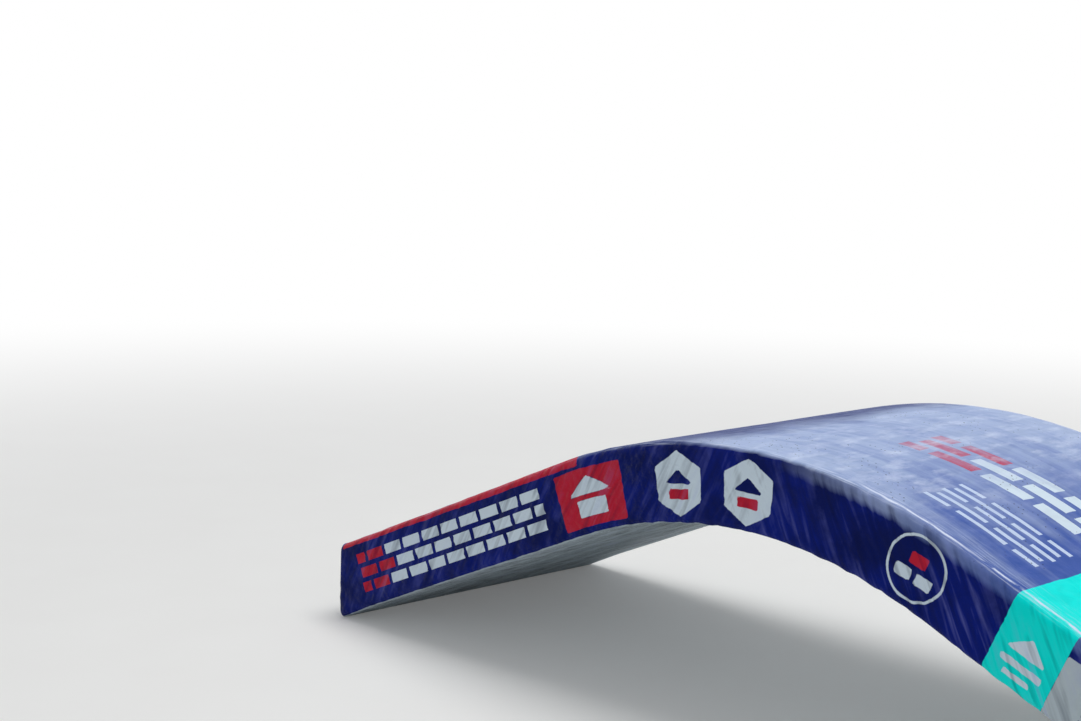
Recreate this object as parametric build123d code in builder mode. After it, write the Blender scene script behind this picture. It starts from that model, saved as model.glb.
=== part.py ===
from build123d import *
import os
from math import copysign, cos, radians, sin

os.makedirs("parts", exist_ok=True)

# A bundle of laminated asphalt shingles in a film wrapper, bowed in the middle and standing on its two ends.
# X runs along the bundle, Y across it, Z up. The origin is on the floor under the middle of the crown.
# All driving dimensions are in millimetres.

# The shingle: a full-width overlay sheet with a backer strip laminated under its butt half.
sheet_length = 1000.0
sheet_width = 337.0
ply = 1.8
bond_width = 22.0
slot_taper = 7.0
tabs_and_slots = ((118.0, 45.0), (89.0, 86.0), (133.0, 58.0), (75.0, 92.0), (166.0, 46.0))

# The stack: shingles lie in pairs, back to back, so that the two backers of a pair share one layer.
pair_count = 11
sheet_gap = 0.1
backer_gap = 7.0
stagger_step = 0.7
stagger_turns = 5

# The bow: two straight limbs joined by a bend.
limb_slope = 23.5
saddle_radius = 405.0

# The wrapper: one sleeve of printed film, drawn in over each end and open in the middle of it.
film = 0.6
film_corner = 7.0
flat_clearance = 0.3
side_clearance = 2.5
end_clearance = 0.8
pressed_clearance = 0.15
pressed_corner = 8.0
end_lap_side = 46.0
end_lap_flat = 15.0
end_opening_corner = 14.0

slope = radians(limb_slope)
backer_width = (sheet_width - backer_gap) / 2
slot_depth = backer_width - bond_width
pair_height = 3 * ply + sheet_gap
stack_height = pair_count * pair_height + (pair_count - 1) * sheet_gap
cavity_height = stack_height + 2 * flat_clearance
cavity_width = sheet_width + 2 * side_clearance
wrapper_height = cavity_height + 2 * film
wrapper_width = cavity_width + 2 * film
middle_radius = saddle_radius + wrapper_height / 2
stack_radius = saddle_radius + film + flat_clearance
largest_stagger = stagger_step * (stagger_turns - 1) / 2


def spot(angle, past_bend, radius):
    """The X and the height over the bend's centre of a point at this radius, this far along a limb."""
    across = radius * sin(angle) + copysign(past_bend, angle) * cos(slope)
    return across, radius * cos(angle) - past_bend * sin(slope)


def limb_end(radius, half_length):
    """The X that a sheet of this radius and half length reaches."""
    return spot(slope, half_length - slope * radius, radius)[0]


top_ply_radius = stack_radius + stack_height - ply / 2
longest_reach = limb_end(top_ply_radius, sheet_length / 2 + largest_stagger) + ply / 2 * sin(slope)
cavity_reach = longest_reach + end_clearance
wrapper_reach = cavity_reach + film
limb_run = (wrapper_reach - saddle_radius * sin(slope)) / cos(slope)
bend_centre_height = limb_run * sin(slope) - saddle_radius * cos(slope)
end_face_height = wrapper_height / cos(slope)


def bent_strip(low_radius, start, finish, near_y, far_y):
    """Adds one ply between two distances from the crown, bent to its own radius and cut square at its ends."""
    ply_radius = low_radius + ply / 2
    bend_half = slope * ply_radius
    upper = low_radius + ply

    def raised(angle, past_bend, radius):
        across, over_centre = spot(angle, past_bend, radius)
        return across, over_centre + bend_centre_height

    with BuildSketch(Plane.XZ.offset(-far_y)) as side_view:
        with BuildLine():
            Line(raised(-slope, -start - bend_half, low_radius), raised(-slope, 0, low_radius))
            ThreePointArc(
                raised(-slope, 0, low_radius), raised(0, 0, low_radius), raised(slope, 0, low_radius)
            )
            Line(raised(slope, 0, low_radius), raised(slope, finish - bend_half, low_radius))
            Line(raised(slope, finish - bend_half, low_radius), raised(slope, finish - bend_half, upper))
            Line(raised(slope, finish - bend_half, upper), raised(slope, 0, upper))
            ThreePointArc(raised(slope, 0, upper), raised(0, 0, upper), raised(-slope, 0, upper))
            Line(raised(-slope, 0, upper), raised(-slope, -start - bend_half, upper))
            Line(raised(-slope, -start - bend_half, upper), raised(-slope, -start - bend_half, low_radius))
        make_face()
    extrude(side_view.sketch, amount=far_y - near_y)


def plan_x(distance, radius):
    """The X of a point at this distance from the crown, measured along a sheet of this radius."""
    bend_half = slope * radius
    if abs(distance) <= bend_half:
        return spot(distance / radius, 0, radius)[0]
    return spot(copysign(slope, distance), abs(distance) - bend_half, radius)[0]


def slot_spans():
    """Lists the start and end of each slot that fits along the butt edge."""
    spans = []
    place = 0.0
    for tab, slot in tabs_and_slots:
        opening = place + tab
        place = opening + slot
        if place < sheet_length:
            spans.append((opening, place))
    return spans


def bowed_bar(width, height, corner, reach):
    """Adds a bar with rounded long edges that follows the bow and ends on two upright planes."""
    with BuildLine(Plane.XZ) as course:
        limb_foot = spot(slope, limb_run + wrapper_height, middle_radius)
        bend_edge = spot(slope, 0, middle_radius)
        crown = (0, middle_radius + bend_centre_height)
        feet = [(side * limb_foot[0], limb_foot[1] + bend_centre_height) for side in (-1, 1)]
        edges = [(side * bend_edge[0], bend_edge[1] + bend_centre_height) for side in (-1, 1)]
        Line(feet[0], edges[0])
        ThreePointArc(edges[0], crown, edges[1])
        Line(edges[1], feet[1])
    path = course.wires()[0]
    with BuildSketch(Plane(origin=path @ 0, x_dir=(0, 1, 0), z_dir=path % 0)) as section:
        RectangleRounded(width, height, corner)
    sweep(section.sketch, path=path)
    split(bisect_by=Plane.YZ.offset(reach), keep=Keep.BOTTOM)
    split(bisect_by=Plane.YZ.offset(-reach), keep=Keep.TOP)


# The space inside the film, and the shape that the outermost sheets are pressed to by it.
with BuildPart() as cavity:
    bowed_bar(cavity_width, cavity_height, film_corner - film, cavity_reach)

with BuildPart() as pressed_core:
    bowed_bar(
        cavity_width - 2 * pressed_clearance,
        cavity_height - 2 * pressed_clearance,
        pressed_corner,
        cavity_reach,
    )

# The film sleeve, hollow, with an opening in each end where the sheets show.
with BuildPart() as wrapper:
    bowed_bar(wrapper_width, wrapper_height, film_corner, wrapper_reach)
    add(cavity.part, mode=Mode.SUBTRACT)
    for side in (-1, 1):
        with BuildSketch(Plane.YZ.offset(side * wrapper_reach)):
            with Locations((0, end_face_height / 2)):
                RectangleRounded(
                    wrapper_width - 2 * end_lap_side,
                    end_face_height - 2 * end_lap_flat,
                    end_opening_corner,
                )
        extrude(amount=-side * 2 * film, mode=Mode.SUBTRACT)

wrapper.part.label = "wrapper"
export_step(wrapper.part, "parts/wrapper.step")

# The shingles, from the floor up. Odd ones lie face down with the butt edge at the far side. Even ones are
# turned over and lie face up, with the butt edge at the near side.
for number in range(1, 2 * pair_count + 1):
    face_up = number % 2 == 0
    pair_base = stack_radius + (number - 1) // 2 * (pair_height + sheet_gap)
    butt_side = -1 if face_up else 1
    overlay_radius = pair_base + (pair_height - ply if face_up else 0)
    backer_radius = pair_base + (ply + sheet_gap if face_up else ply)
    stagger = (number * 3 % stagger_turns) * stagger_step - largest_stagger
    start = stagger - sheet_length / 2
    finish = stagger + sheet_length / 2
    near_edge = -sheet_width / 2
    far_edge = sheet_width / 2

    with BuildPart() as shingle:
        bent_strip(overlay_radius, start, finish, near_edge, far_edge)
        # The slots between the tabs, each a little wider at the butt edge.
        for slot_start, slot_finish in slot_spans():
            low_x = plan_x(start + slot_start, overlay_radius + ply / 2)
            high_x = plan_x(start + slot_finish, overlay_radius + ply / 2)
            root_y = butt_side * (sheet_width / 2 - slot_depth)
            open_y = butt_side * (sheet_width / 2 + ply)
            with BuildSketch():
                with BuildLine():
                    Polyline(
                        (low_x, open_y),
                        (high_x, open_y),
                        (high_x - slot_taper, root_y),
                        (low_x + slot_taper, root_y),
                        close=True,
                    )
                make_face()
            extrude(amount=bend_centre_height + overlay_radius + 2 * ply, mode=Mode.SUBTRACT)
        backer_edges = sorted((butt_side * sheet_width / 2, butt_side * (sheet_width / 2 - backer_width)))
        bent_strip(backer_radius, start, finish, backer_edges[0], backer_edges[1])
        # Film tension rounds the long edges of the outermost sheets.
        if number in (1, 2 * pair_count):
            add(pressed_core.part, mode=Mode.INTERSECT)

    name = f"shingle_{number:02d}"
    shingle.part.label = name
    export_step(shingle.part, f"parts/{name}.step")

print(f"bundle {2 * wrapper_reach:.1f} x {wrapper_width:.1f} mm, panel {wrapper_height:.1f} mm")
print(f"crown {bend_centre_height + saddle_radius + wrapper_height:.1f} mm high")
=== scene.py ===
import math

import bpy
import numpy as np
from mathutils import Matrix, Vector


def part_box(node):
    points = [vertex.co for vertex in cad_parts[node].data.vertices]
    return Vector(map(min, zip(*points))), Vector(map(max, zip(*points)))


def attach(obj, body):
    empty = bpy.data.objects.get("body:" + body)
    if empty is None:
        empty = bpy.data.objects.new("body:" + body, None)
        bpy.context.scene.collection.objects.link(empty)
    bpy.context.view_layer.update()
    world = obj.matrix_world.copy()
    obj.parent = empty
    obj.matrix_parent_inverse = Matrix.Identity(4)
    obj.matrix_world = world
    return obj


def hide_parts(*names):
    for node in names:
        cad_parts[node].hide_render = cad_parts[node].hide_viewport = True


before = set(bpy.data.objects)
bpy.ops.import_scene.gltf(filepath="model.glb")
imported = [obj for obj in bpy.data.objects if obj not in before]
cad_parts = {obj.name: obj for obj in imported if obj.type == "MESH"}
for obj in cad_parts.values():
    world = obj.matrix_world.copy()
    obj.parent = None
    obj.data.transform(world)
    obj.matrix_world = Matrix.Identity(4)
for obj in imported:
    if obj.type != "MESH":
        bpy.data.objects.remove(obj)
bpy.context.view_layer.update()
mm = 0.001

# The camera. It stands off the right-hand front corner, a little above the crown, and sees the right limb
# run out of the picture. Its place, turn and focal length were fitted to the bundle's edges.
camera_place = Vector((866.7, -1249.4, 478.1)) * mm
camera_yaw = math.radians(-45.09)
camera_dip = math.radians(7.67)
camera_roll = math.radians(1.80)
focal_pixels = 1880.9
picture_width = 1081

aim = Vector((math.sin(camera_yaw), math.cos(camera_yaw), -math.tan(camera_dip)))
camera = bpy.data.objects.new("camera", bpy.data.cameras.new("camera"))
bpy.context.scene.collection.objects.link(camera)
bpy.context.scene.camera = camera
camera.data.sensor_width = 36.0
camera.data.lens = focal_pixels / picture_width * camera.data.sensor_width
camera.matrix_world = (
    Matrix.Translation(camera_place)
    @ aim.to_track_quat("-Z", "Y").to_matrix().to_4x4()
    @ Matrix.Rotation(camera_roll, 4, "Z")
)

# The film's cross-section. The sleeve is polyethylene film drawn tight round the stack, so it is a
# rectangle with small round corners. The walk round it starts under the middle, goes up the near side and
# over the top.
film_corner = 7 * mm
panel_height = 63.3 * mm
wrapper_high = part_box("wrapper")[1]
reach = wrapper_high.x
half_width = wrapper_high.y
flat_half = half_width - film_corner


def straight(start, end, facing, steps):
    """Points of a straight stretch of the section, each with the way that the film faces there."""
    share = np.linspace(0, 1, steps, endpoint=False)[:, None]
    places = np.array(start) + share * (np.array(end) - np.array(start))
    return np.hstack([places, np.tile(facing, (steps, 1))])


def rounded(centre, first, last, steps):
    """Points of a round corner of the section, between two directions in degrees."""
    turn = np.radians(np.linspace(first, last, steps, endpoint=False))[:, None]
    facing = np.hstack([np.cos(turn), np.sin(turn)])
    return np.hstack([np.array(centre) + film_corner * facing, facing])


upper_turn = panel_height - film_corner
underside_steps = 20
near_steps = 20
top_steps = 82
far_steps = 15
foot_steps = 5
fold_steps = 6
section = np.vstack([
    straight((0, 0), (-flat_half, 0), (0, -1), underside_steps),
    rounded((-flat_half, film_corner), -90, -180, foot_steps),
    straight((-half_width, film_corner), (-half_width, upper_turn), (-1, 0), near_steps),
    rounded((-flat_half, upper_turn), 180, 90, fold_steps),
    straight((-flat_half, panel_height), (flat_half, panel_height), (0, 1), top_steps),
    rounded((flat_half, upper_turn), 90, 0, fold_steps),
    straight((half_width, upper_turn), (half_width, film_corner), (1, 0), far_steps),
    rounded((flat_half, film_corner), 0, -90, foot_steps),
    straight((flat_half, 0), (0, 0), (0, -1), underside_steps),
    [[0, 0, 0, -1]],
])
section_y, section_height, facing_y, facing_up = section.T
columns = len(section) - 1
girth = np.append(0, np.cumsum(np.hypot(np.diff(section_y), np.diff(section_height))))
full_girth = girth[-1]
near_fold = flat_half + film_corner * math.pi / 4

# The bow. The stack has taken a set, two straight limbs joined by a bend, and its sheets have kept their
# length, so it ends on two upright planes. Every row of film points is laid flat first and then carried
# round the bow.
limb_slope = math.radians(23.5)
saddle_radius = 405 * mm
middle_radius = saddle_radius + panel_height / 2
bend_centre_height = wrapper_high.z - saddle_radius - panel_height
end_round = 3 * mm


def bowed(share, depth):
    """Film points at shares of the half length, sunk by a depth, with their distance along the bundle."""
    radius = saddle_radius + section_height - facing_up * depth
    bend_half = limb_slope * radius
    half_run = bend_half + (reach - end_round - radius * math.sin(limb_slope)) / math.cos(limb_slope)
    distance = share * half_run
    angle = np.clip(distance / radius, -limb_slope, limb_slope)
    past_bend = distance - angle * radius
    x = radius * np.sin(angle) + past_bend * math.cos(limb_slope)
    y = section_y - facing_y * depth + 0 * share
    z = radius * np.cos(angle) - np.abs(past_bend) * math.sin(limb_slope) + bend_centre_height
    return x, y, z, angle * middle_radius + past_bend


# The creases of the film. It was pulled tight over a bending stack, so long fine creases run aslant down
# the sides, away from the crown. The top is slightly crumpled, and the underside is gathered across its
# width. Each face's film lies, sags and creases to these depths.
chance = np.random.default_rng(11)
outer_rows = 440
flat_room = 0.5 * mm
side_room = 2.6 * mm
crease_heading = math.radians(41)
crown_blend = 45 * mm
side_lie = 0.9 * mm
side_sag = 0.45 * mm
side_crease = 1.05 * mm
top_lie = 0.10 * mm
top_sag = 0.12 * mm
top_crumple = 0.34 * mm
underside_lie = 0.2 * mm
underside_gather = 0.7 * mm
underside_fullness = 1.4 * mm
least_side_depth = 0.1 * mm
least_flat_depth = 0.02 * mm


def waves(along, across, heading, shortest, longest, spread, count):
    """Adds up waves whose crests all run near one heading, to about -1 to 1."""
    total = 0
    for _ in range(count):
        turn = heading + chance.normal(0, spread)
        length = chance.uniform(shortest, longest)
        place = across * math.cos(turn) - along * math.sin(turn)
        total = total + np.sin(2 * math.pi * place / length + chance.uniform(0, 2 * math.pi))
    return total / math.sqrt(count)


def pinched(wave, softness):
    """Turns waves into narrow ridges with round valleys between them, 0 at a ridge."""
    return np.sqrt(wave**2 + softness**2) - softness


outer_share = np.linspace(-1, 1, outer_rows)[:, None]
along = bowed(outer_share, 0 * section_y)[3]
round_film = girth + 0 * along
room = flat_room + (side_room - flat_room) * np.abs(facing_y) ** 4
on_side = np.abs(facing_y)
on_top = np.clip(facing_up, 0, 1)
on_underside = np.clip(-facing_up, 0, 1)
right_share = np.clip(along / crown_blend * 0.5 + 0.5, 0, 1)
near_up = np.where(section_y < 0, girth, full_girth - girth) - near_fold

slack = waves(along, round_film, heading=0.4, shortest=60 * mm, longest=190 * mm, spread=1.5, count=9)
patchiness = waves(along, near_up, heading=0.3, shortest=40 * mm, longest=120 * mm, spread=1.5, count=7)
creased = np.clip(0.6 + 0.7 * patchiness, 0.12, 1.5)
drawn_right = waves(
    along, near_up, heading=-crease_heading, shortest=8 * mm, longest=24 * mm, spread=0.12, count=14
)
drawn_left = waves(
    along, near_up, heading=crease_heading, shortest=8 * mm, longest=28 * mm, spread=0.16, count=14
)
drawn = drawn_right * right_share + drawn_left * (1 - right_share)
crumple = waves(along, round_film, heading=0.9, shortest=16 * mm, longest=60 * mm, spread=0.9, count=16)
gathers = waves(
    along, round_film, heading=math.pi / 2, shortest=18 * mm, longest=60 * mm, spread=0.10, count=12
)

# The gathers of the underside are fullest under the bend and gone 430 mm from the crown.
under_bend = np.clip(1.5 - 3.5 * np.abs(along), 0, 1)
side_depth = side_lie + side_sag * slack + side_crease * creased * pinched(drawn, softness=0.10)
top_depth = top_lie + top_sag * slack + top_crumple * creased * pinched(crumple, softness=0.06)
underside_depth = underside_lie - underside_gather * pinched(gathers, softness=0.2) * under_bend
wanted_depth = side_depth * on_side**2 + top_depth * on_top**2 + underside_depth * on_underside**2
least_depth = np.maximum(least_side_depth * on_side, least_flat_depth) - underside_fullness * on_underside
depth = np.clip(wanted_depth, least_depth, room)

# The drawn-in ends. The sleeve is longer than the stack, and heat has shrunk its ends over the stack's ends
# to an oval opening, so the film there is gathered in short folds towards the lip.
face_rows = 10
opening_half_width = 125.6 * mm
opening_half_height = 19.5 * mm
face_standoff = 0.15 * mm
film_gauge = 0.3 * mm
lining_depth = 0.3 * mm
lip_squareness = 4
fold_depth = 0.8 * mm
lip_wander = 1.5 * mm
upright_wander = 0.7
end_middle = panel_height / math.cos(limb_slope) / 2


def end_face(side, edge):
    """Rows of film points from the edge row over one end to the lip, and two more on the film's inside."""
    edge_y, edge_z, edge_along = edge
    unit_y = edge_y / half_width
    unit_z = (edge_z - end_middle) / end_middle
    size = (np.abs(unit_y) ** lip_squareness + np.abs(unit_z) ** lip_squareness) ** (1 / lip_squareness)
    long_waves = waves(0, girth, heading=0, shortest=45 * mm, longest=150 * mm, spread=0.1, count=6)
    wander = lip_wander * long_waves
    wander[-1] = wander[0]
    lip_y = (opening_half_width + wander) * unit_y / size
    lip_z = end_middle + (opening_half_height + wander * upright_wander) * unit_z / size
    run = np.hypot(lip_y - edge_y, lip_z - edge_z)
    short_folds = waves(0, girth, heading=0, shortest=7 * mm, longest=26 * mm, spread=0.1, count=9)
    folds = np.clip(pinched(short_folds, softness=0.15), 0, 1)
    folds[-1] = folds[0]

    def inset(distance, x):
        share = distance / run
        y = edge_y + (lip_y - edge_y) * share
        z = edge_z + (lip_z - edge_z) * share
        return side * x + 0 * y, y, z, edge_along + side * distance

    rows = []
    for turn in np.radians([22.5, 45, 67.5, 90]):
        out = (end_round - face_standoff) * math.sin(turn)
        rows.append(inset(end_round * (1 - math.cos(turn)) + 0 * run, reach - end_round + out))
    for share in np.linspace(0, 1, face_rows + 1)[1:]:
        x = reach - face_standoff - fold_depth * folds * share**1.5
        rows.append(inset(end_round + share * (run - end_round), x))
    inside_x = reach - face_standoff - fold_depth - film_gauge
    rows.append(inset(run, reach - face_standoff - fold_depth * folds - film_gauge))
    rows.append(inset(2 * film_gauge + 0 * run, inside_x))
    return rows


outside = bowed(outer_share, depth)
bend_share = 0.38
limb_steps = 4
bend_steps = 25
inner_share = np.concatenate([
    np.linspace(1, bend_share, limb_steps, endpoint=False),
    np.linspace(bend_share, -bend_share, bend_steps, endpoint=False),
    np.linspace(-bend_share, -1, limb_steps + 1),
])[:, None]
inside = bowed(inner_share, room + lining_depth + 0 * inner_share)
right_end = end_face(1, [values[-1] for values in outside[1:]])
left_end = end_face(-1, [values[0] for values in outside[1:]])
rings = []
for axis in range(4):
    rings.append(np.vstack([
        outside[axis],
        *[row[axis][None, :] for row in right_end],
        inside[axis],
        *[row[axis][None, :] for row in left_end[::-1]],
        outside[axis][:1],
    ]))
ring_x, ring_y, unpressed_z, ring_along = rings
ring_rows = len(ring_x) - 1

# The bundle's weight presses the film of both lower end edges to the floor.
foot_height = 20 * mm
foot_gap = unpressed_z.min()
foot_stretch = foot_height / (foot_height - foot_gap)
pressed_z = foot_height - (foot_height - unpressed_z) * foot_stretch
ring_z = np.where(unpressed_z < foot_height, pressed_z, unpressed_z)

# The film sleeve's mesh. It is one flat sheet, as the film comes off its roll, carried round the stack and
# back along the inside, with its edges welded, so the sleeve is a closed skin of real thickness.
bpy.ops.object.select_all(action="DESELECT")
bpy.ops.mesh.primitive_grid_add(x_subdivisions=columns, y_subdivisions=ring_rows, size=2)
sleeve = bpy.context.active_object
sleeve.name = "film_sleeve"
flat_points = np.empty(len(sleeve.data.vertices) * 3)
sleeve.data.vertices.foreach_get("co", flat_points)
flat = flat_points.reshape(-1, 3)
column = np.rint((flat[:, 0] + 1) / 2 * columns).astype(int)
row = np.rint((flat[:, 1] + 1) / 2 * ring_rows).astype(int)
places = np.stack([ring_x[row, column], ring_y[row, column], ring_z[row, column]], axis=1)
sleeve.data.vertices.foreach_set("co", places.ravel())

# The print on the film. Most inks are kept as the distance inside each printed shape, in millimetres, so
# their edges stay sharp on the mesh. The design is plain bands, badges, gables and courses of slabs.
print_along = ring_along[row, column] / mm
print_up = (np.minimum(girth, full_girth - girth)[column] - near_fold) / mm
print_across = section_y[column] / mm
fold_up = (panel_height - film_corner * (2 - math.pi / 2)) / mm


def bar(a, b, left, right, low, high, rise=0.0):
    """How far inside a bar each point is, its lower edge rising by so much for each unit of length."""
    return np.minimum(np.minimum(a - left, right - a), np.minimum(b - low - rise * (a - left), high - b))


def disc(a, b, middle_a, middle_b, radius):
    """How far inside a disc each point is."""
    return radius - np.hypot(a - middle_a, b - middle_b)


def hexagon(a, b, middle_a, middle_b, radius):
    """How far inside a hexagon with two upright sides each point is."""
    off_a = np.abs(a - middle_a)
    off_b = np.abs(b - middle_b)
    return radius - np.maximum(off_a, off_a / 2 + off_b * math.sqrt(3) / 2)


def gable(a, b, middle, low, half_base, rise):
    """How far inside a gable each point is: a flat triangle with its two low corners cut square."""
    edge = math.hypot(half_base, rise)
    in_from_corner = half_base - np.abs(a - middle)
    slant = (in_from_corner * rise - (b - low) * half_base) / edge
    return np.minimum.reduce([slant, b - low, in_from_corner - eaves_cut])


def any_of(*shapes):
    """How far inside the nearest of several shapes each point is."""
    return np.maximum.reduce(shapes)


def on_near_side(shape):
    """A shape of the near side alone."""
    return np.minimum(shape, -print_across)


def on_both_limbs(shape, further):
    """A shape on the right limb's top, and the same one turned about further out on the left limb's top."""
    both = np.maximum(shape(print_along, print_across), shape(-print_along - further, -print_across))
    return np.minimum(both, print_up - fold_up)


# The near side's motifs, placed by their distance from the crown and their height above the lower fold.
a, b = print_along, print_up
eaves_cut = 2.5
stripe_start, stripe_end = -487, -165
stripe_low, stripe_high = 57, 64
band_start, band_end = 233, 283
band_middle = (band_start + band_end) / 2
block_middle = -158
badge_middles = (-62, 6)
badge_height, badge_radius = 29, 22.5
ring_middle, ring_height, ring_radius, ring_line = 160, 30, 25, 2
ring_slab_half = 7
blank_label_middle = 355

# The courses are laid slab by slab, and the rules line by line, from a corner each.
courses_start, courses_low, courses_high = -470, 10, 50
middle_row_low, middle_row_high = 23.3, 36.7
side_slab = 27
top_slab, top_row = 44.55, 22
rule_length, rule_row = 48, 11.5

# The pale zone and its small rules stop a little short of the folds.
near_pale_top = 46
far_pale_top = fold_up - 6
far_pale_start = 100
underside_edge = -3
rule_margin = 6
small_rules_start = band_end + 25


def slab(middle, half_length, low, high):
    """How far inside a slab on the near side each point is, the slab centred on a place along it."""
    return bar(a, b, middle - half_length, middle + half_length, low, high)


house = any_of(
    gable(a, b, block_middle, low=30, half_base=27, rise=15),
    slab(block_middle, half_length=17, low=12, high=26),
)
ring_slabs = any_of(
    slab(ring_middle - 9, ring_slab_half, ring_height - 11, ring_height - 2),
    slab(ring_middle + 9, ring_slab_half, ring_height - 11, ring_height - 2),
)


def top_reds(a, b):
    """The red slabs that start the top's courses, whole ones in each of the three rows."""
    return any_of(
        bar(a, b, top_slab, 2 * top_slab, -2 * top_row, top_row),
        bar(a, b, top_slab, 2.5 * top_slab, -2 * top_row, -top_row),
        bar(a, b, top_slab, 2.5 * top_slab, 0, top_row),
    )


def top_whites(a, b):
    """The rest of the top's courses."""
    return bar(a, b, 2 * top_slab, 5 * top_slab, -2 * top_row, top_row)


def top_rules(a, b):
    """The block of rules beside the top's courses."""
    return bar(a, b, 2.5 * rule_length, 4.5 * rule_length, -11 * rule_row, -6 * rule_row)


def pale_print(margin, start):
    """The sides' pale print: low on the near side past a start, all the far side and the underside."""
    near = np.minimum(a - start, near_pale_top - margin - b)
    far = np.minimum(print_across - far_pale_start - margin, far_pale_top - margin - b)
    return any_of(near, far, underside_edge - margin - b)


prints = {
    "pale_zone": pale_print(0, band_end),
    "grey_rules": pale_print(rule_margin, small_rules_start),
    "teal_band": np.minimum(a - band_start, band_end - a),
    "white_shapes": on_near_side(any_of(
        disc(a, b, ring_middle, ring_height, ring_radius),
        house,
        gable(a, b, band_middle, low=26, half_base=17, rise=14),
        slab(band_middle, half_length=17, low=15, high=20),
        slab(band_middle, half_length=11, low=7, high=11),
        *[hexagon(a, b, middle, badge_height, badge_radius) for middle in badge_middles],
    )),
    "white_courses": any_of(
        on_near_side(bar(
            a,
            b,
            courses_start + 1.5 * side_slab,
            courses_start + 9.5 * side_slab,
            courses_low,
            courses_high,
        )),
        on_both_limbs(top_whites, 2.5 * top_slab),
    ),
    "white_rules": on_both_limbs(top_rules, 2 * rule_length),
    "navy_shapes": on_near_side(any_of(
        np.minimum(disc(a, b, ring_middle, ring_height, ring_radius - ring_line), -ring_slabs),
        *[gable(a, b, middle, badge_height, half_base=15, rise=11) for middle in badge_middles],
        slab(blank_label_middle, half_length=37, low=6, high=38),
    )),
    "red_shapes": on_near_side(any_of(
        bar(a, b, stripe_start, stripe_end, stripe_low, stripe_high, rise=-0.008),
        np.minimum(slab(block_middle, half_length=37, low=4, high=51), -house),
        slab(ring_middle, ring_slab_half, ring_height + 2, ring_height + 11),
        *[slab(middle, 10, badge_height - 12, badge_height - 4) for middle in badge_middles],
    )),
    "red_courses": any_of(
        on_near_side(any_of(
            bar(a, b, courses_start, courses_start + 1.5 * side_slab, courses_low, courses_high),
            bar(a, b, courses_start, courses_start + 2 * side_slab, middle_row_low, middle_row_high),
        )),
        on_both_limbs(top_reds, 2.5 * top_slab),
    ),
    "print_along": print_along,
    "print_up": print_up,
}
for ink, distance in prints.items():
    attribute = sleeve.data.attributes.new(ink, "FLOAT", "POINT")
    attribute.data.foreach_set("value", distance.astype(np.float32))

bpy.ops.object.mode_set(mode="EDIT")
bpy.ops.mesh.select_all(action="SELECT")
bpy.ops.mesh.remove_doubles(threshold=0.002 * mm)
bpy.ops.mesh.normals_make_consistent(inside=False)
bpy.ops.object.mode_set(mode="OBJECT")
bpy.ops.object.shade_smooth_by_angle(angle=math.radians(60))


def linear(hex_colour):
    """An sRGB hex colour as the linear colour that a node takes."""
    parts = [int(hex_colour[place:place + 2], 16) / 255 for place in (0, 2, 4)]
    return [part / 12.92 if part <= 0.04045 else ((part + 0.055) / 1.055) ** 2.4 for part in parts] + [1]


def add(tree, kind, settings, links=None):
    """Adds a node, gives it these properties and plain inputs, and links these outputs to its inputs."""
    made = tree.nodes.new(kind)
    for name, value in settings.items():
        if isinstance(name, str) and hasattr(made, name):
            setattr(made, name, value)
        else:
            made.inputs[name].default_value = value
    for name, output in (links or {}).items():
        tree.links.new(output, made.inputs[name])
    return made.outputs


def new_material(name):
    """An empty material with its node tree."""
    material = bpy.data.materials.new(name)
    material.use_nodes = True
    material.node_tree.nodes.clear()
    return material, material.node_tree


# Polyethylene wrapper film, blown and printed in flexo inks. It is thin and glossy, with fine stretch lines
# where it is pulled, a pale haze of dust and rubbing with painted light and painted sheen on what faces up,
# and a few grains of roofing grit.
film, tree = new_material("printed_polyethylene_film")
place = add(tree, "ShaderNodeTexCoord", {})["Object"]
normal = add(tree, "ShaderNodeNewGeometry", {})["Normal"]
facing = add(tree, "ShaderNodeSeparateXYZ", {}, {0: normal})
spot = add(tree, "ShaderNodeSeparateXYZ", {}, {0: place})
faces_up = add(tree, "ShaderNodeMapRange", {"From Min": 0.45, "From Max": 0.93}, {0: facing["Z"]})[0]
endways = add(tree, "ShaderNodeMath", {"operation": "ABSOLUTE"}, {0: facing["X"]})[0]
on_end = add(tree, "ShaderNodeMapRange", {"From Min": 0.8, "From Max": 0.95}, {0: endways})[0]
film_along = add(tree, "ShaderNodeAttribute", {"attribute_name": "print_along"})["Fac"]
film_up = add(tree, "ShaderNodeAttribute", {"attribute_name": "print_up"})["Fac"]
from_crown = add(tree, "ShaderNodeMath", {"operation": "ABSOLUTE"}, {0: film_along})[0]
past_fold = add(tree, "ShaderNodeMath", {"operation": "SUBTRACT", 1: fold_up}, {0: film_up})[0]
from_fold = add(tree, "ShaderNodeMath", {"operation": "ABSOLUTE"}, {0: past_fold})[0]

# Stretch lines about 7 mm apart and 75 mm long, aslant in each limb's own direction, and the blotches that
# make everything on the film uneven.
line_spacing = 7 * mm
line_length = 75 * mm
line_breadth = 24 * mm
blotch_size = 55 * mm
stretch_lines = []
for side in (-1, 1):
    turned = add(
        tree,
        "ShaderNodeMapping",
        {
            "vector_type": "TEXTURE",
            "Rotation": (0, side * (limb_slope + crease_heading), 0),
            "Scale": (line_length, line_breadth, line_spacing),
        },
        {0: place},
    )[0]
    stretch = {"Scale": 1.0, "Detail": 2.0, "Roughness": 0.5, "Distortion": 0.4}
    stretch_lines.append(add(tree, "ShaderNodeTexNoise", stretch, {"Vector": turned})["Fac"])
right_limb = add(
    tree, "ShaderNodeMapRange", {"From Min": -crown_blend, "From Max": crown_blend}, {0: spot["X"]}
)[0]
lines = add(
    tree, "ShaderNodeMix", {}, {0: right_limb, 2: stretch_lines[0], 3: stretch_lines[1]}
)[0]
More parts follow.
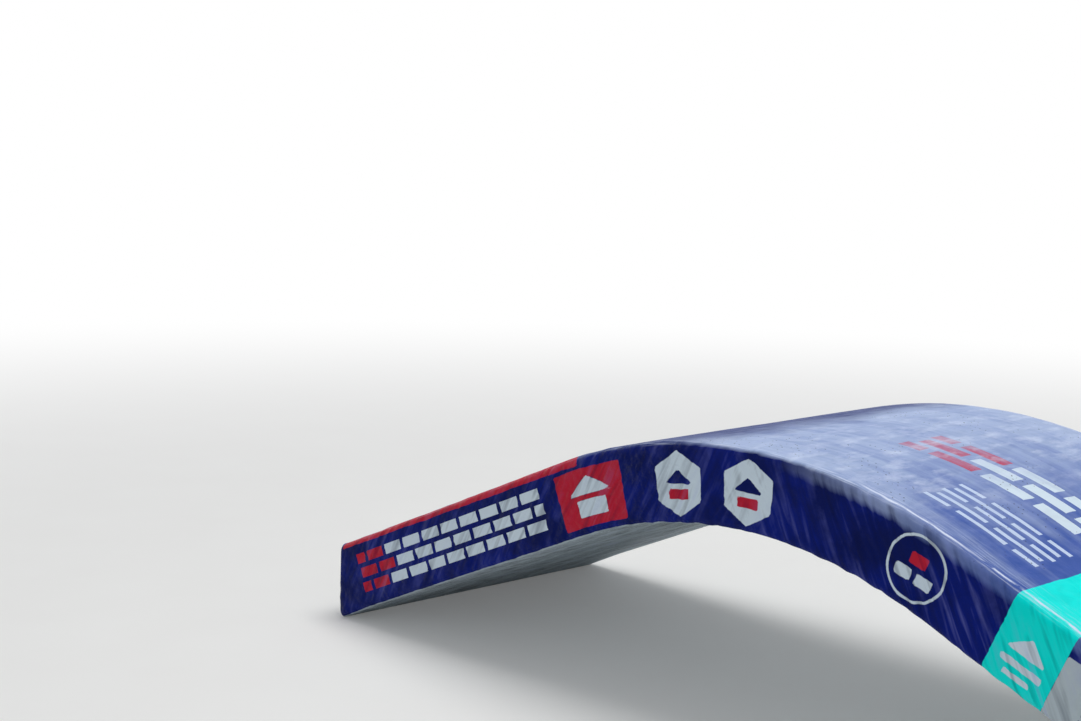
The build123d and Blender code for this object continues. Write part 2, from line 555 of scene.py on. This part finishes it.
blotches = add(
    tree,
    "ShaderNodeTexNoise",
    {"Scale": 1 / blotch_size, "Detail": 5.0, "Roughness": 0.6},
    {"Vector": place},
)["Fac"]
patches = add(tree, "ShaderNodeMapRange", {"From Min": 0.40, "From Max": 0.58}, {0: blotches})[0]
glints = add(tree, "ShaderNodeMapRange", {"From Min": 0.50, "From Max": 0.66}, {0: lines})[0]
patchy_glints = add(tree, "ShaderNodeMath", {"operation": "MULTIPLY"}, {0: glints, 1: patches})[0]

# The ground ink is deep navy on the sides, a little uneven. On top it is painted bluer and paler as if lit
# from above, then paled by dust and by a painted sheen, palest at the crown and beside the folds. Left of
# the crown, past the crest, the film is crumpled and painted shade keeps it dark.
crown_haze_full, crown_haze_end = 70, 205
fold_haze_width = 40
far_haze_start = -110 * mm
sweep_length = 140 * mm
sweep_width = 11 * mm
crumple_size = 24 * mm
crest_crease_width = 9 * mm
crest_crease_length = 48 * mm
crest_wander = 50
full_dark_until, half_dark_from = -110, -260
side_ground = add(
    tree, "ShaderNodeMix", {"data_type": "RGBA", 6: linear("00125a"), 7: linear("021a7a")}, {0: patches}
)[2]
haze_at_crown = add(
    tree,
    "ShaderNodeMapRange",
    {"From Min": crown_haze_end, "From Max": crown_haze_full, "To Max": 0.85},
    {0: from_crown},
)[0]
haze_far = add(
    tree,
    "ShaderNodeMapRange",
    {
        "interpolation_type": "SMOOTHSTEP",
        "From Min": far_haze_start,
        "From Max": half_width,
        "To Max": 0.12,
    },
    {0: spot["Y"]},
)[0]
haze_at_fold = add(
    tree, "ShaderNodeMapRange", {"From Min": fold_haze_width, "From Max": 0, "To Max": 0.25}, {0: from_fold}
)[0]
broad_haze = add(tree, "ShaderNodeMath", {"operation": "ADD"}, {0: haze_at_crown, 1: haze_far})[0]
edged_haze = add(tree, "ShaderNodeMath", {"operation": "ADD"}, {0: broad_haze, 1: haze_at_fold})[0]
uneven = add(
    tree,
    "ShaderNodeMapRange",
    {"From Min": 0.3, "From Max": 0.7, "To Min": -0.22, "To Max": 0.22},
    {0: blotches},
)[0]
haze = add(tree, "ShaderNodeMath", {"operation": "ADD"}, {0: edged_haze, 1: uneven})[0]
swept = add(
    tree,
    "ShaderNodeMapping",
    {"vector_type": "TEXTURE", "Scale": (sweep_length, sweep_width, sweep_length)},
    {0: place},
)[0]
sweeps = add(tree, "ShaderNodeTexNoise", {"Scale": 1.0, "Detail": 4.0}, {"Vector": swept})["Fac"]
swept_dust = add(
    tree,
    "ShaderNodeMapRange",
    {"From Min": 0.35, "From Max": 0.7, "To Min": -0.14, "To Max": 0.2},
    {0: sweeps},
)[0]
dust_and_sheen = add(tree, "ShaderNodeMath", {"operation": "ADD", "use_clamp": True}, {0: haze, 1: swept_dust})[0]
# The top's ground: the navy painted lighter as lit film, and paled further by dust and by painted sheen.
sheen_and_dust_ground = add(
    tree, "ShaderNodeMix", {"data_type": "RGBA", 6: linear("405ca8"), 7: linear("a2b3d6")}, {0: dust_and_sheen}
)[2]
crumples = add(
    tree,
    "ShaderNodeTexNoise",
    {"Scale": 1 / crumple_size, "Detail": 4.0, "Distortion": 0.8},
    {"Vector": place},
)["Fac"]
drawn_out = add(
    tree,
    "ShaderNodeMapping",
    {
        "vector_type": "TEXTURE",
        "Scale": (crest_crease_width, crest_crease_length, crest_crease_width),
    },
    {0: place},
)[0]
crest_noise = add(tree, "ShaderNodeTexNoise", {"Scale": 1.0, "Detail": 4.0}, {"Vector": drawn_out})["Fac"]
# Painted shade past the crest: the crumpled film there is mixed towards a dark navy, and this falls to half
# on the far left limb.
crest_shade_depth = add(
    tree,
    "ShaderNodeMapRange",
    {"From Min": 0.3, "From Max": 0.6, "To Min": 0.72, "To Max": 0.9},
    {0: crest_noise},
)[0]
crest_edge = add(
    tree, "ShaderNodeMath", {"operation": "MULTIPLY_ADD", 1: crest_wander}, {0: blotches, 2: film_along}
)[0]
past_crest = add(
    tree, "ShaderNodeMapRange", {"From Min": 5, "From Max": -40}, {0: crest_edge, "To Max": crest_shade_depth}
)[0]
left_pale = add(
    tree,
    "ShaderNodeMapRange",
    {"From Min": full_dark_until, "From Max": half_dark_from, "To Min": 1.0, "To Max": 0.5},
    {0: film_along},
)[0]
crest_shade = add(tree, "ShaderNodeMath", {"operation": "MULTIPLY"}, {0: past_crest, 1: left_pale})[0]
painted_top_ground = add(
    tree, "ShaderNodeMix", {"data_type": "RGBA", 7: linear("202f6c")}, {0: crest_shade, 6: sheen_and_dust_ground}
)[2]

# The near and far edges are soft bends on the right limb, so the top's painted-lit ground is carried a
# little way down them as painted light, to an uneven foot.
bend_start, bend_full = 30, 120
foot_wander = 8
soft_bend = add(
    tree,
    "ShaderNodeMapRange",
    {"From Min": bend_start, "From Max": bend_full, "To Max": 0.8},
    {0: film_along},
)[0]
bend_foot = add(
    tree, "ShaderNodeMath", {"operation": "MULTIPLY_ADD", 1: foot_wander}, {0: lines, 2: past_fold}
)[0]
lit_bend = add(
    tree, "ShaderNodeMapRange", {"From Min": -6.5, "From Max": -1.5}, {0: bend_foot, "To Max": soft_bend}
)[0]
lit = add(tree, "ShaderNodeMath", {"operation": "MAXIMUM"}, {0: faces_up, 1: lit_bend})[0]
unlit_end = add(
    tree, "ShaderNodeMath", {"operation": "SUBTRACT", "use_clamp": True}, {0: lit, 1: on_end}
)[0]
# Painted light and shade: the lit top's ground where the film faces up, and the darker side ground
# elsewhere.
ground = add(
    tree, "ShaderNodeMix", {"data_type": "RGBA"}, {0: unlit_end, 6: side_ground, 7: painted_top_ground}
)[2]

# Where the film is pinched into stretch lines, the print on it is shifted by up to half a millimetre.
shift = add(
    tree, "ShaderNodeMath", {"operation": "MULTIPLY_ADD", 1: 2.2, 2: -1.1}, {0: lines}
)[0]
shifted_along = add(tree, "ShaderNodeMath", {"operation": "ADD"}, {0: film_along, 1: shift})[0]
film_across = add(tree, "ShaderNodeMath", {"operation": "DIVIDE", 1: mm}, {0: spot["Y"]})[0]
side_place = add(tree, "ShaderNodeCombineXYZ", {}, {"X": shifted_along, "Y": film_up})[0]
top_place = add(tree, "ShaderNodeCombineXYZ", {}, {"X": shifted_along, "Y": film_across})[0]
ink_edge = 0.25
above_fold = add(
    tree, "ShaderNodeMapRange", {"From Min": -ink_edge, "From Max": ink_edge}, {0: past_fold}
)[0]


def staggered(corner, place, gap, length, height):
    """The gaps between staggered slabs, laid from a corner: 1 in the gaps and 0 on the slabs."""
    # The node takes only a narrow gap, so its unit is scaled to the gap.
    half_gap = 0.11
    unit = gap / (2 * half_gap)
    laid = add(tree, "ShaderNodeVectorMath", {"operation": "SUBTRACT", 1: (*corner, 0)}, {0: place})[0]
    slabs = {
        "Scale": 1 / unit,
        "Mortar Size": half_gap,
        "Mortar Smooth": 0.0,
        "Brick Width": length / unit,
        "Row Height": height / unit,
    }
    return add(tree, "ShaderNodeTexBrick", slabs, {"Vector": laid})["Fac"]


courses = add(tree, "ShaderNodeMix", {}, {
    0: above_fold,
    2: staggered((courses_start, courses_low), side_place, gap=4.4, length=side_slab, height=13.334),
    3: staggered((0, 0), top_place, gap=7.26, length=top_slab, height=top_row),
})[0]
rules = staggered((0, 0), top_place, gap=6.6, length=rule_length, height=rule_row)
small_rules = staggered((0, 0), side_place, gap=2.64, length=19.2, height=4.6)
gutters = staggered((0, -2), side_place, gap=14.08, length=140.8, height=53.76)
in_blocks = add(tree, "ShaderNodeMath", {"operation": "MAXIMUM"}, {0: small_rules, 1: gutters})[0]
ruled = add(tree, "ShaderNodeMath", {"operation": "MAXIMUM"}, {0: in_blocks, 1: on_end})[0]

# The inks, from the first one printed to the last.
colour = ground
for ink, gaps, tone in (
    ("pale_zone", None, "b9c6cd"),
    ("grey_rules", ruled, "7c8a94"),
    ("teal_band", None, "00eee6"),
    ("white_shapes", None, "d4e4f0"),
    ("white_courses", courses, "d4e4f0"),
    ("white_rules", rules, "c6d6f0"),
    ("navy_shapes", None, None),
    ("red_shapes", None, "c02038"),
    ("red_courses", courses, "c02038"),
):
    ink_depth = add(tree, "ShaderNodeAttribute", {"attribute_name": ink})["Fac"]
    shifted = add(tree, "ShaderNodeMath", {"operation": "ADD"}, {0: ink_depth, 1: shift})[0]
    share = add(tree, "ShaderNodeMapRange", {"From Min": -ink_edge, "From Max": ink_edge}, {0: shifted})[0]
    if gaps:
        share = add(
            tree, "ShaderNodeMath", {"operation": "SUBTRACT", "use_clamp": True}, {0: share, 1: gaps}
        )[0]
    settings = {"data_type": "RGBA"}
    links = {0: share, 6: colour}
    if tone:
        settings[7] = linear(tone)
    else:
        links[7] = ground
    colour = add(tree, "ShaderNodeMix", settings, links)[2]

# The dust and the painted sheen on top lie over the inks too, so they fade into the ground where these are
# thickest.
sheen_and_dust_over_ink = add(
    tree, "ShaderNodeMapRange", {"From Min": 0.4, "From Max": 1.0, "To Max": 0.6}, {0: dust_and_sheen}
)[0]
veil = add(tree, "ShaderNodeMath", {"operation": "MULTIPLY"}, {0: sheen_and_dust_over_ink, 1: faces_up})[0]
colour = add(tree, "ShaderNodeMix", {"data_type": "RGBA"}, {0: veil, 6: colour, 7: ground})[2]

# The stretch lines turn the film pale, partly stress whitening and partly painted glints, more so down the
# right limb, where it is pulled hardest, and painted shade darkens the valleys between them on the sides.
pull_start, pull_full = -60, 200
side_pull = add(
    tree,
    "ShaderNodeMapRange",
    {"From Min": pull_start, "From Max": pull_full, "To Min": 0.14, "To Max": 0.28},
    {0: film_along},
)[0]
# The painted glints and the whitening are strongest on the sides and faint on what faces up.
pull = add(tree, "ShaderNodeMapRange", {"To Max": 0.08}, {0: faces_up, "To Min": side_pull})[0]
whitening_and_glints = add(tree, "ShaderNodeMath", {"operation": "MULTIPLY"}, {0: patchy_glints, 1: pull})[0]
colour = add(
    tree, "ShaderNodeMix", {"data_type": "RGBA", 7: linear("8a90d8")}, {0: whitening_and_glints, 6: colour}
)[2]
# Painted shade in the valleys between the stretch lines, strongest on the sides.
valley_shade_depth = add(tree, "ShaderNodeMapRange", {"To Min": 0.42, "To Max": 0.06}, {0: faces_up})[0]
valleys = add(
    tree, "ShaderNodeMapRange", {"From Min": 0.50, "From Max": 0.32}, {0: lines, "To Max": valley_shade_depth}
)[0]
colour = add(
    tree, "ShaderNodeMix", {"data_type": "RGBA", 7: linear("000a3c")}, {0: valleys, 6: colour}
)[2]

# The gathers of the drawn-in ends run from the end's edges to its opening, 7 mm apart.
gather_rate = (0, 1 / 7, 0)
gather_place = add(
    tree, "ShaderNodeVectorMath", {"operation": "MULTIPLY", 1: gather_rate}, {0: side_place}
)[0]
end_gathers = add(
    tree, "ShaderNodeTexNoise", {"Scale": 1.0, "Detail": 2.0}, {"Vector": gather_place}
)["Fac"]
# The gathers' ridges are paled, partly by stress whitening and partly by a painted highlight.
gather_tops = add(
    tree, "ShaderNodeMapRange", {"From Min": 0.45, "From Max": 0.72, "To Max": 0.16}, {0: end_gathers}
)[0]
gather_whitening_and_glints = add(tree, "ShaderNodeMath", {"operation": "MULTIPLY"}, {0: gather_tops, 1: on_end})[0]
colour = add(
    tree, "ShaderNodeMix", {"data_type": "RGBA", 7: linear("b8c4dc")}, {0: gather_whitening_and_glints, 6: colour}
)[2]

# Scuffs lie in two fields: broad ones round a place just right of the crown, about 17 mm by 50 mm, and long
# ones beside the folds, about 33 mm by 2 mm.
broad_rate = (0.06, 0.02, 0)
long_rate = (0.03, 0.5, 0)
scuffed_middle = 50
broad_scuffs = add(
    tree, "ShaderNodeVectorMath", {"operation": "MULTIPLY", 1: broad_rate}, {0: side_place}
)[0]
long_scuffs = add(
    tree, "ShaderNodeVectorMath", {"operation": "MULTIPLY", 1: long_rate}, {0: side_place}
)[0]
past_scuffed = add(
    tree, "ShaderNodeMath", {"operation": "SUBTRACT", 1: scuffed_middle}, {0: film_along}
)[0]
from_scuffed = add(tree, "ShaderNodeMath", {"operation": "ABSOLUTE"}, {0: past_scuffed})[0]
rubbed = []
for scuffs, faint, full, nearness, reach_out, reach_full, most in (
    (broad_scuffs, 0.49, 0.72, from_scuffed, 120, 50, 0.6),
    (long_scuffs, 0.50, 0.70, from_fold, 34, 4, 0.75),
):
    grain = add(
        tree, "ShaderNodeTexNoise", {"Scale": 1.0, "Detail": 5.0, "Roughness": 0.65}, {"Vector": scuffs}
    )["Fac"]
    scuffed = add(tree, "ShaderNodeMapRange", {"From Min": faint, "From Max": full}, {0: grain})[0]
    here = add(
        tree,
        "ShaderNodeMapRange",
        {"From Min": reach_out, "From Max": reach_full, "To Max": most},
        {0: nearness},
    )[0]
    rubbed.append(add(tree, "ShaderNodeMath", {"operation": "MULTIPLY"}, {0: scuffed, 1: here})[0])
worn = add(tree, "ShaderNodeMath", {"operation": "MAXIMUM"}, {0: rubbed[0], 1: rubbed[1]})[0]
worn_up = add(tree, "ShaderNodeMath", {"operation": "MULTIPLY"}, {0: worn, 1: faces_up})[0]
rub_size = 9 * mm
rubbing = add(
    tree,
    "ShaderNodeTexNoise",
    {"Scale": 1 / rub_size, "Detail": 8.0, "Roughness": 0.7, "Distortion": 0.6},
    {"Vector": place},
)["Fac"]

# A painted highlight runs as a bright line on top about 7 mm inside the folds of the right limb, where the
# film is drawn over the edge. It wanders and breaks off in places.
line_wander = 7
line_inset = 10
line_start, line_full = 50, 120
wandering = add(
    tree, "ShaderNodeMath", {"operation": "MULTIPLY_ADD", 1: line_wander}, {0: crumples, 2: past_fold}
)[0]
past_line = add(tree, "ShaderNodeMath", {"operation": "SUBTRACT", 1: line_inset}, {0: wandering})[0]
from_line = add(tree, "ShaderNodeMath", {"operation": "ABSOLUTE"}, {0: past_line})[0]
fold_line = add(tree, "ShaderNodeMapRange", {"From Min": 2.0, "From Max": 0.5}, {0: from_line})[0]
line_here = add(
    tree,
    "ShaderNodeMapRange",
    {"From Min": line_start, "From Max": line_full, "To Min": 0.12, "To Max": 1.0},
    {0: film_along},
)[0]
line_kept = add(tree, "ShaderNodeMapRange", {"From Min": 0.36, "From Max": 0.50}, {0: crumples})[0]
bright_line = add(tree, "ShaderNodeMath", {"operation": "MULTIPLY"}, {0: fold_line, 1: line_here})[0]
broken_highlight = add(tree, "ShaderNodeMath", {"operation": "MULTIPLY"}, {0: bright_line, 1: line_kept})[0]
fold_highlight = add(
    tree, "ShaderNodeMath", {"operation": "SUBTRACT", "use_clamp": True}, {0: broken_highlight, 1: on_end}
)[0]
# The real scuffs and the painted highlight line are mixed in with the same pale blue-white.
wear_and_highlight = add(tree, "ShaderNodeMath", {"operation": "MAXIMUM"}, {0: worn_up, 1: fold_highlight})[0]
scuffed_and_highlit = add(
    tree, "ShaderNodeMix", {"data_type": "RGBA", 7: linear("dde6fa")}, {0: wear_and_highlight, 6: colour}
)[2]

# Grains of grit, about a millimetre across, lie in loose drifts on what faces up.
grit_spacing = 4.5 * mm
grains = add(tree, "ShaderNodeTexVoronoi", {"Scale": 1 / grit_spacing}, {"Vector": place})["Distance"]
grain_size = add(tree, "ShaderNodeMapRange", {"From Min": 0.16, "From Max": 0.11}, {0: grains})[0]
drift = add(tree, "ShaderNodeMapRange", {"From Min": 0.53, "From Max": 0.57}, {0: blotches})[0]
lying = add(tree, "ShaderNodeMath", {"operation": "MULTIPLY"}, {0: drift, 1: faces_up})[0]
grit = add(tree, "ShaderNodeMath", {"operation": "MULTIPLY"}, {0: grain_size, 1: lying})[0]
gritty = add(tree, "ShaderNodeMix", {"data_type": "RGBA", 7: linear("202028")}, {0: grit, 6: scuffed_and_highlit})[2]

# The gloss: bright on the sides, dulled where it is rubbed and on the dusty underside.
faces_down = add(
    tree, "ShaderNodeMapRange", {"From Min": -0.4, "From Max": -0.8, "To Max": 0.4}, {0: facing["Z"]}
)[0]
gloss = add(tree, "ShaderNodeMapRange", {"To Max": 0.36}, {0: faces_up, "To Min": faces_down})[0]
dulled = add(tree, "ShaderNodeMath", {"operation": "MULTIPLY_ADD", 1: 0.2}, {0: wear_and_highlight, 2: gloss})[0]
roughness = add(tree, "ShaderNodeMath", {"operation": "ADD", 1: 0.17}, {0: dulled})[0]
line_relief = add(tree, "ShaderNodeBump", {"Strength": 0.7, "Distance": 0.4 * mm}, {"Height": lines})[0]
gather_relief = add(
    tree,
    "ShaderNodeBump",
    {"Distance": 4 * mm},
    {"Height": end_gathers, "Strength": on_end, "Normal": line_relief},
)[0]
crest_relief = add(
    tree,
    "ShaderNodeBump",
    {"Distance": 4 * mm},
    {"Height": crest_noise, "Strength": crest_shade, "Normal": gather_relief},
)[0]
crumple_relief = add(
    tree,
    "ShaderNodeBump",
    {"Strength": 0.6, "Distance": 2.4 * mm},
    {"Height": crumples, "Normal": crest_relief},
)[0]
relief = add(
    tree,
    "ShaderNodeBump",
    {"Strength": 0.4, "Distance": 0.4 * mm},
    {"Height": rubbing, "Normal": crumple_relief},
)[0]
film_shader = add(
    tree,
    "ShaderNodeBsdfPrincipled",
    {"IOR": 1.5, "Specular IOR Level": 0.06},
    {"Base Color": gritty, "Roughness": roughness, "Normal": relief},
)[0]
add(tree, "ShaderNodeOutputMaterial", {}, {"Surface": film_shader})
sleeve.data.materials.append(film)
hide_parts("wrapper")
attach(sleeve, "root")

# The shingles, seen through the ends of the sleeve. They are a glass mat soaked in asphalt, with crushed
# stone granules on the face: dull charcoal grains outside, and black cut edges with pale strands of glass.
shingle, tree = new_material("granule_surfaced_asphalt")
granule_size = 1.5 * mm
strand_size = (2 * mm, 9 * mm, 0.5 * mm)
place = add(tree, "ShaderNodeTexCoord", {})["Object"]
normal = add(tree, "ShaderNodeNewGeometry", {})["Normal"]
facing = add(tree, "ShaderNodeSeparateXYZ", {}, {0: normal})
granules = add(tree, "ShaderNodeTexVoronoi", {"Scale": 1 / granule_size}, {"Vector": place})
granule_tone = add(tree, "ShaderNodeSeparateColor", {}, {"Color": granules["Color"]})[0]
granule_colour = add(tree, "ShaderNodeValToRGB", {}, {"Fac": granule_tone})["Color"]
stops = granule_colour.node.color_ramp.elements
stops[0].color = linear("1c1c1e")
stops[1].color = linear("8a867e")
for position, tone in ((0.45, "38383b"), (0.8, "57544f")):
    stops.new(position).color = linear(tone)
strands = add(
    tree, "ShaderNodeMapping", {"vector_type": "TEXTURE", "Scale": strand_size}, {0: place}
)[0]
strand_noise = add(tree, "ShaderNodeTexNoise", {"Scale": 1.0, "Detail": 4.0}, {"Vector": strands})["Fac"]
strand_share = add(tree, "ShaderNodeMapRange", {"From Min": 0.5, "From Max": 0.75}, {0: strand_noise})[0]
cut_edge = add(
    tree,
    "ShaderNodeMix",
    {"data_type": "RGBA", 6: linear("17171a"), 7: linear("55534f")},
    {0: strand_share},
)[2]

# Shingles lie in pairs with their granules outward, so a line of granules shows at each pair's edges.
pair_pitch = 5.6 * mm
film_and_clearance = 0.9 * mm
stack_start = saddle_radius + film_and_clearance
spot = add(tree, "ShaderNodeSeparateXYZ", {}, {0: place})
out = add(tree, "ShaderNodeMath", {"operation": "ABSOLUTE"}, {0: spot["X"]})[0]
out_part = add(tree, "ShaderNodeMath", {"operation": "MULTIPLY", 1: math.sin(limb_slope)}, {0: out})[0]
over_centre = add(
    tree,
    "ShaderNodeMath",
    {"operation": "MULTIPLY_ADD", 1: math.cos(limb_slope)},
    {0: spot["Z"], 2: out_part},
)[0]
first_sheet = stack_start + bend_centre_height * math.cos(limb_slope)
into_stack = add(tree, "ShaderNodeMath", {"operation": "SUBTRACT", 1: first_sheet}, {0: over_centre})[0]
from_pair_edge = add(
    tree, "ShaderNodeMath", {"operation": "PINGPONG", 1: pair_pitch / 2}, {0: into_stack}
)[0]
granule_line = add(
    tree, "ShaderNodeMapRange", {"From Min": 0.95 * mm, "From Max": 0.45 * mm}, {0: from_pair_edge}
)[0]
flatness = add(tree, "ShaderNodeMath", {"operation": "ABSOLUTE"}, {0: facing["Z"]})[0]
on_face = add(tree, "ShaderNodeMapRange", {"From Min": 0.5, "From Max": 0.8}, {0: flatness})[0]
stony = add(tree, "ShaderNodeMath", {"operation": "MAXIMUM"}, {0: on_face, 1: granule_line})[0]
shingle_colour = add(
    tree, "ShaderNodeMix", {"data_type": "RGBA"}, {0: stony, 6: cut_edge, 7: granule_colour}
)[2]
granule_relief = add(
    tree, "ShaderNodeBump", {"Strength": 0.6, "Distance": 0.5 * mm}, {"Height": granules["Distance"]}
)[0]
shingle_shader = add(
    tree,
    "ShaderNodeBsdfPrincipled",
    {"Roughness": 0.85, "Specular IOR Level": 0.35},
    {"Base Color": shingle_colour, "Normal": granule_relief},
)[0]
add(tree, "ShaderNodeOutputMaterial", {}, {"Surface": shingle_shader})
for name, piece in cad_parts.items():
    if name.startswith("shingle"):
        piece.data.materials.clear()
        piece.data.materials.append(shingle)

# The studio. The bundle stands on a pale matt floor that fades to white, under one broad soft lamp above
# and behind it and a weak one in front, in an even pale surround.
floor_half = 14.0
fade_start = 0.5
fade_end = 2.8
near_fade = 0.12
mottles_per_metre = 9.0
bpy.ops.object.select_all(action="DESELECT")
bpy.ops.mesh.primitive_grid_add(x_subdivisions=8, y_subdivisions=8, size=2 * floor_half)
floor = bpy.context.active_object
floor.name = "studio_floor"
floor_paint, tree = new_material("matt_floor_paint")
place = add(tree, "ShaderNodeTexCoord", {})["Object"]
away = add(tree, "ShaderNodeVectorMath", {"operation": "LENGTH"}, {0: place})["Value"]
faded = add(
    tree,
    "ShaderNodeMapRange",
    {
        "interpolation_type": "SMOOTHSTEP",
        "From Min": fade_start,
        "From Max": fade_end,
        "To Min": near_fade,
    },
    {0: away},
)[0]
mottle = add(
    tree, "ShaderNodeTexNoise", {"Scale": mottles_per_metre, "Detail": 3.0}, {"Vector": place}
)["Fac"]
floor_colour = add(
    tree, "ShaderNodeMix", {"data_type": "RGBA", 6: linear("efeeeb"), 7: linear("f3f3f0")}, {0: mottle}
)[2]
floor_shader = add(
    tree,
    "ShaderNodeBsdfPrincipled",
    {"Roughness": 0.9, "Specular IOR Level": 0.2},
    {"Base Color": floor_colour},
)[0]


def seen_directly(tree):
    """1 for the rays that show the background itself, and 0 for those that carry light."""
    ray = add(tree, "ShaderNodeLightPath", {})
    seen = ray["Is Camera Ray"]
    for kind in ("Is Glossy Ray", "Is Transmission Ray"):
        seen = add(tree, "ShaderNodeMath", {"operation": "MAXIMUM"}, {0: seen, 1: ray[kind]})[0]
    return seen


fade = add(tree, "ShaderNodeMath", {"operation": "MULTIPLY"}, {0: faded, 1: seen_directly(tree)})[0]
white = add(tree, "ShaderNodeEmission", {"Strength": 1.0})[0]
floor_mix = add(tree, "ShaderNodeMixShader", {}, {0: fade, 1: floor_shader, 2: white})[0]
add(tree, "ShaderNodeOutputMaterial", {}, {"Surface": floor_mix})
floor.data.materials.append(floor_paint)

world = bpy.data.worlds.new("studio")
bpy.context.scene.world = world
world.use_nodes = True
tree = world.node_tree
tree.nodes.clear()
surround = add(tree, "ShaderNodeBackground", {"Color": linear("eef1f6"), "Strength": 0.40})[0]
backdrop = add(tree, "ShaderNodeBackground", {"Color": (1, 1, 1, 1), "Strength": 1.0})[0]
sky = add(tree, "ShaderNodeMixShader", {}, {0: seen_directly(tree), 1: surround, 2: backdrop})[0]
add(tree, "ShaderNodeOutputWorld", {}, {"Surface": sky})

lamps_aim = Vector((0, 0, 0.12))
for name, stand, watts, size in (
    ("overhead_lamp", (0.15, 0.25, 2.4), 35, 1.5),
    ("front_lamp", (1.7, -2.3, 1.5), 5.5, 1.4),
):
    lamp = bpy.data.objects.new(name, bpy.data.lights.new(name, "AREA"))
    bpy.context.scene.collection.objects.link(lamp)
    lamp.data.energy = watts
    lamp.data.size = size
    lamp.location = stand
    lamp.rotation_euler = (lamps_aim - Vector(stand)).to_track_quat("-Z", "Y").to_euler()

bpy.context.scene.view_settings.view_transform = "Standard"
